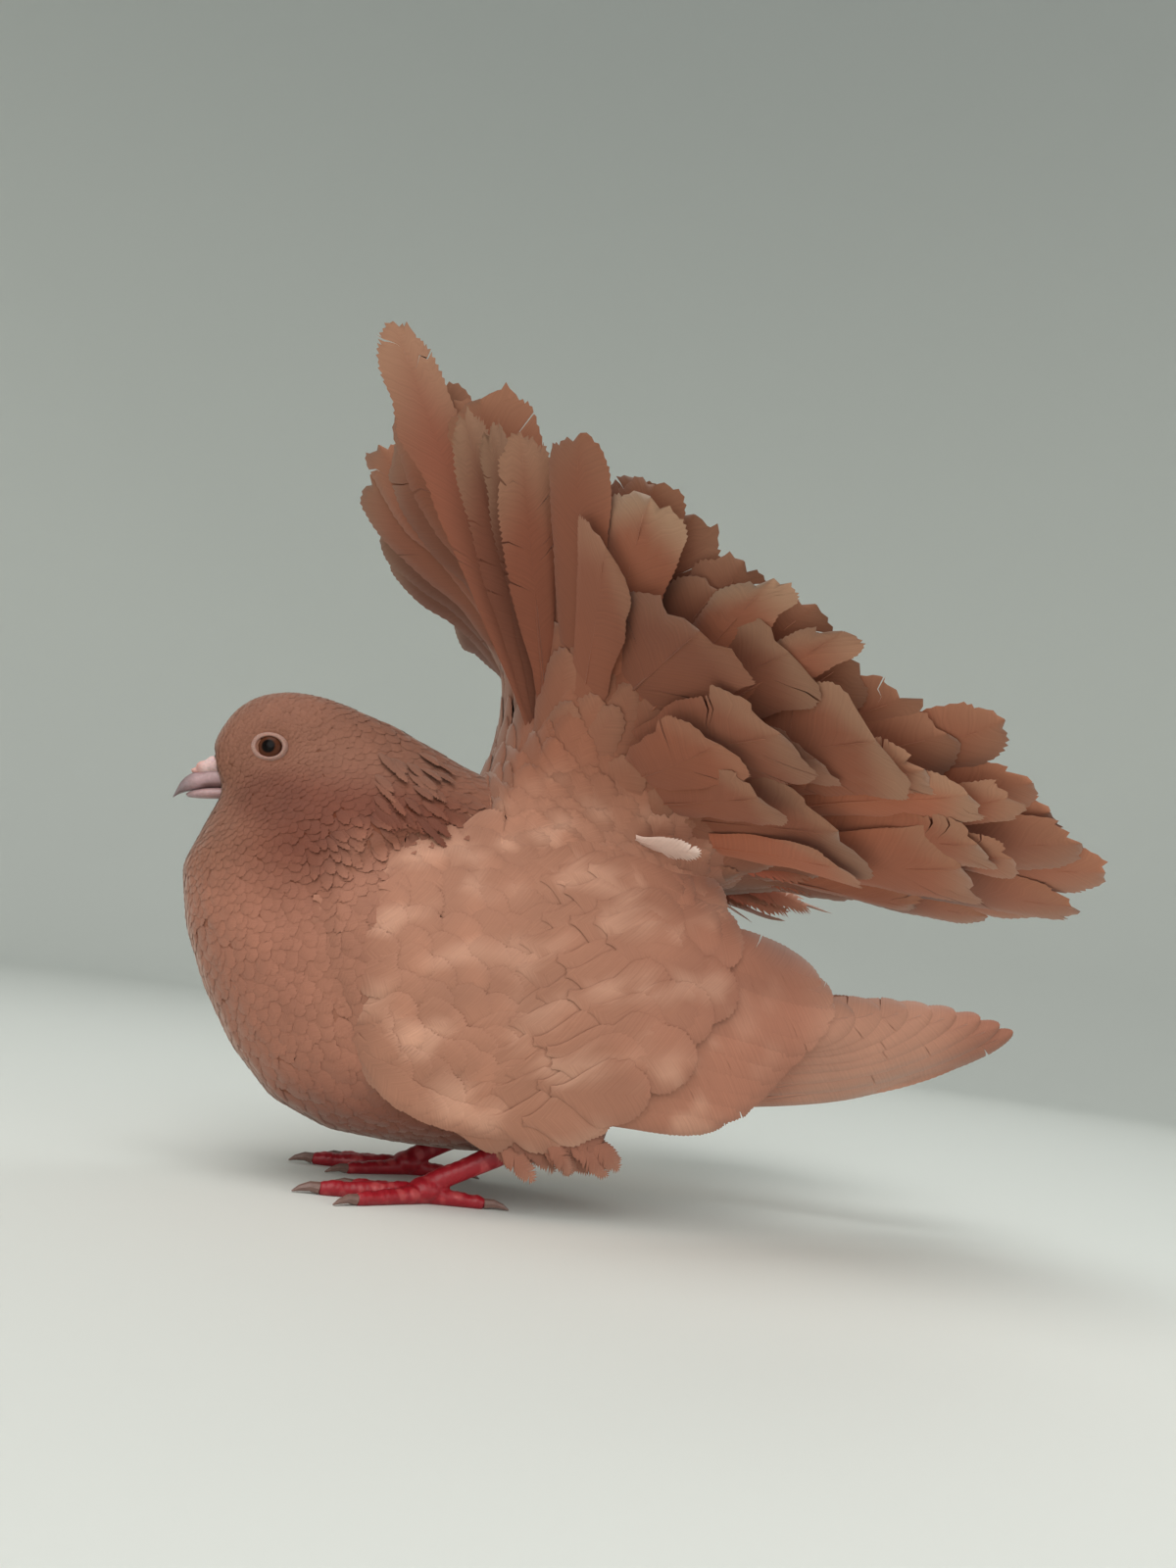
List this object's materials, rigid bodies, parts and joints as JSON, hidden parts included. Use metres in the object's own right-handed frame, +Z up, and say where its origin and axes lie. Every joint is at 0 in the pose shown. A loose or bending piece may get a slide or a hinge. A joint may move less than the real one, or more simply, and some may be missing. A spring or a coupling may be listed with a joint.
{
  "type": "fantail pigeon",
  "caption": "Fantail pigeon standing still with drawn-in neck, breast pushed forward, folded wings and a wide raised fan of tail feathers.",
  "frame": {"origin": "middle of the whole bird's box in plan, on the floor under its soles", "axes": "+Z up, the bird faces -Y, its left side is +X"},
  "size_m": [0.2452, 0.2978, 0.2549],
  "materials": {
    "body_plumage": "soft reddish brown body feathers",
    "wing_plumage": "tan red wing feathers with paler edges",
    "tail_plumage": "warm reddish ochre tail feathers",
    "bill": "pinkish horn with a darker tip",
    "cere": "pale pink powdery skin",
    "eyelid": "bare pinkish skin",
    "eye": "wet and glossy, nearly black brown",
    "leg_skin": "crimson scaly skin",
    "claw": "smooth dull horn"
  },
  "bodies": {
    "root": {"head": "body_plumage", "neck": "body_plumage", "torso": "body_plumage", "thigh_left": "body_plumage", "thigh_right": "body_plumage", "tail_base": "tail_plumage", "tail_left_rear": "tail_plumage", "tail_left_front": "tail_plumage", "tail_right_front": "tail_plumage", "tail_right_rear": "tail_plumage", "undertail": "tail_plumage", "wing_left": "wing_plumage", "wing_right": "wing_plumage", "wing_secondaries_left": "wing_plumage", "wing_secondaries_right": "wing_plumage", "wing_primaries_left": "wing_plumage", "wing_primaries_right": "wing_plumage", "bill_upper": "bill", "bill_lower": "bill", "cere": "cere", "eye_left": "eye", "eye_right": "eye", "eyelids_left": "eyelid", "eyelids_right": "eyelid", "tarsus_left": "leg_skin", "tarsus_right": "leg_skin", "foot_left": "leg_skin", "foot_right": "leg_skin", "claw_middle_left": "claw", "claw_middle_right": "claw", "claw_inner_left": "claw", "claw_inner_right": "claw", "claw_outer_left": "claw", "claw_outer_right": "claw", "claw_hind_left": "claw", "claw_hind_right": "claw"}
  },
  "joints": []
}
